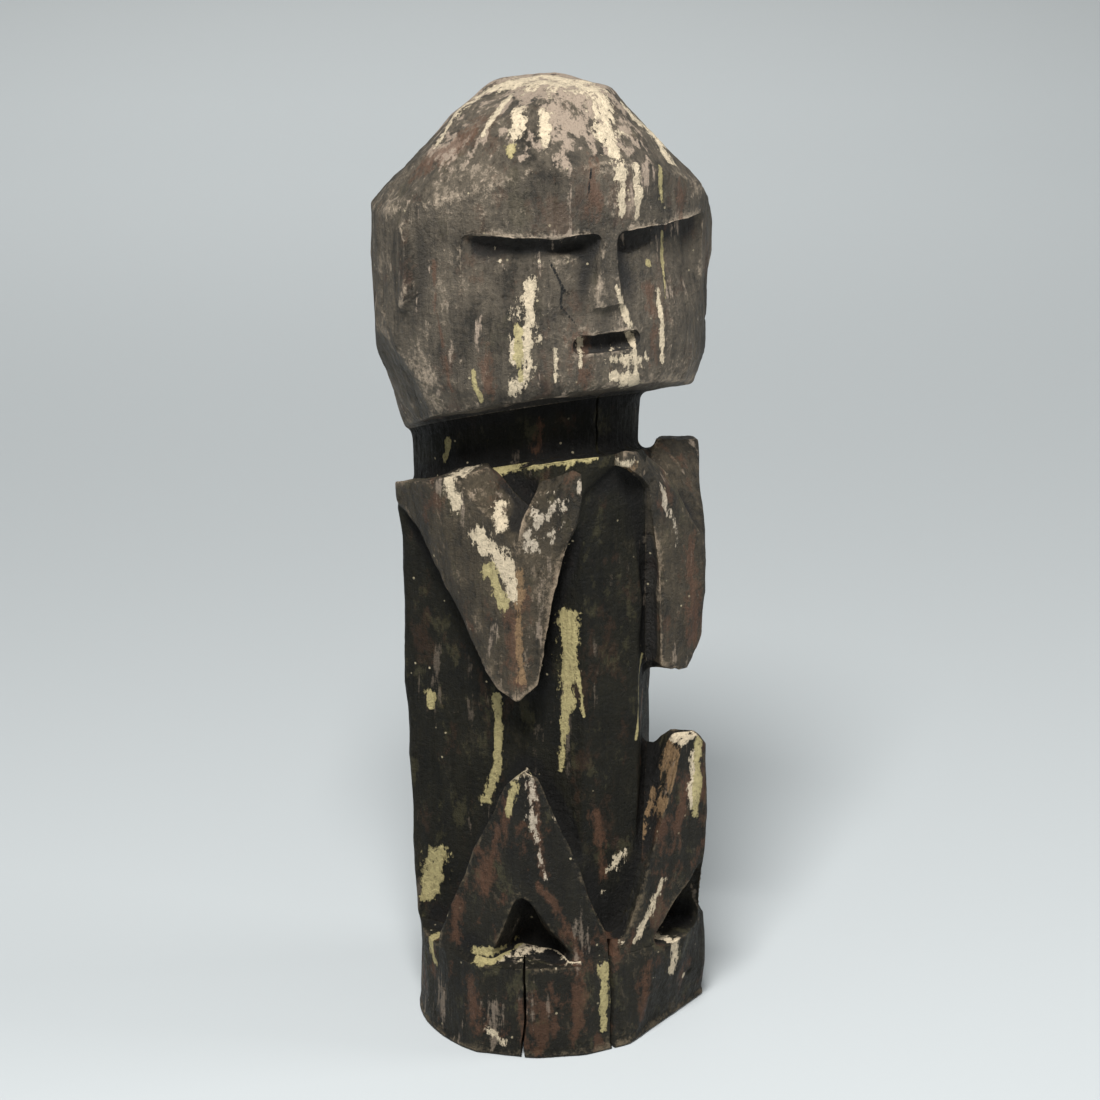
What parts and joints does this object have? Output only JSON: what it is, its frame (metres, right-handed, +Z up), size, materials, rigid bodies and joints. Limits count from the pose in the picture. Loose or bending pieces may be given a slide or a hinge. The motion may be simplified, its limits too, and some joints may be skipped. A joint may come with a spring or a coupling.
{
  "type": "carved ancestor figure",
  "caption": "Squatting ancestor figure carved from one log: drum head with conical crown, zigzag arms and legs, round standing base.",
  "frame": {"origin": "middle of the underside of the base, on the surface that it stands on", "axes": "+Z up; the face looks along -Y; the figure's own left hand is at +X"},
  "size_m": [0.1885, 0.16, 0.5],
  "materials": {
    "dark_wood": "near-black smoked patina, matt, with fine grain",
    "worn_wood": "dark brown patina, worn paler on the edges",
    "limed_wood": "grey-brown worn wood with runs of cream lime"
  },
  "bodies": {
    "root": {"base": "dark_wood", "torso": "dark_wood", "neck": "dark_wood", "head": "limed_wood", "right_upper_arm": "worn_wood", "right_forearm": "worn_wood", "left_upper_arm": "worn_wood", "left_forearm": "worn_wood", "right_thigh": "worn_wood", "right_shin": "worn_wood", "left_thigh": "worn_wood", "left_shin": "worn_wood"}
  },
  "joints": []
}
